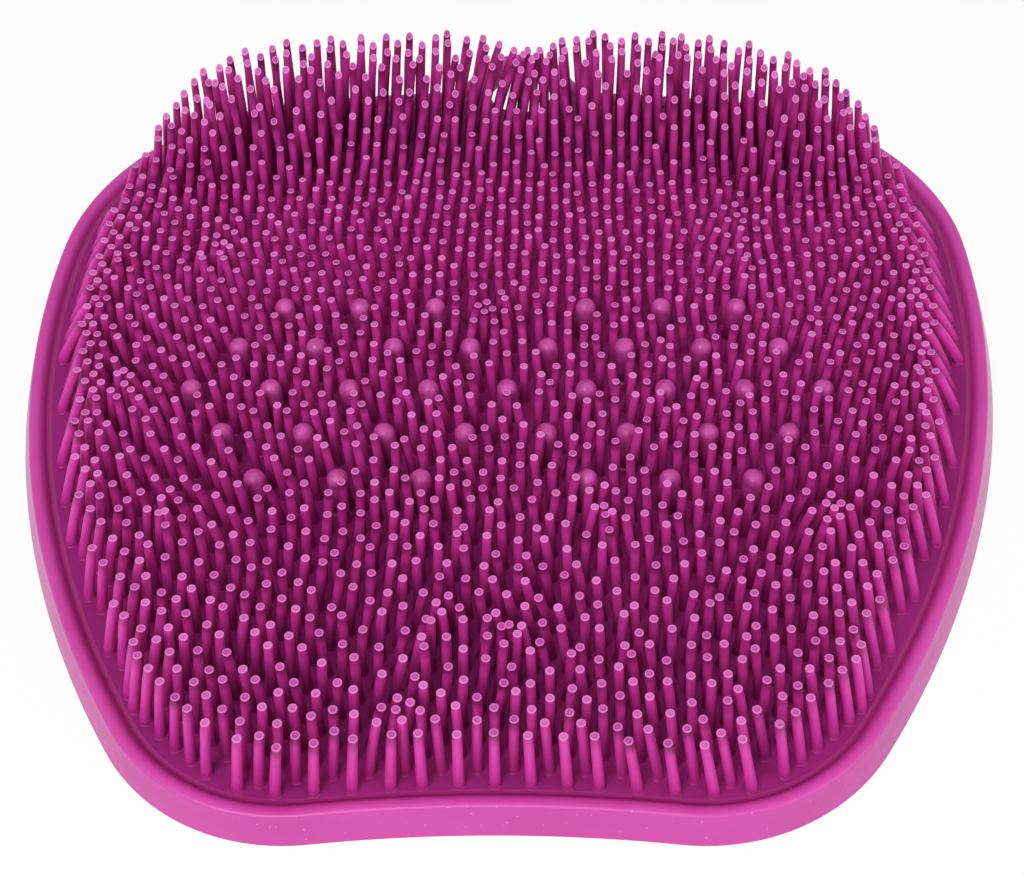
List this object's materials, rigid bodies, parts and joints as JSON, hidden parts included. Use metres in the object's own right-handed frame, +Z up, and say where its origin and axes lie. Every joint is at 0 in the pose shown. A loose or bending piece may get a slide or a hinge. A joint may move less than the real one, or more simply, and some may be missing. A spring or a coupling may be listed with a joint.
{
  "type": "shower foot scrubber",
  "caption": "One-piece silicone foot scrubber for the shower floor: tall soft bristles cut to a foot-shaped cradle, a band of round nubs, a raised lip, suction cups below and a hanging tab.",
  "frame": {"origin": "On the floor, under the middle of the box round the part", "axes": "X to the right, Y from the front edge to the hanging tab at the back, Z up"},
  "size_m": [0.28, 0.2897, 0.0382],
  "materials": {
    "silicone": "satin"
  },
  "bodies": {
    "root": {"scrubber_mat": "silicone"}
  },
  "joints": []
}
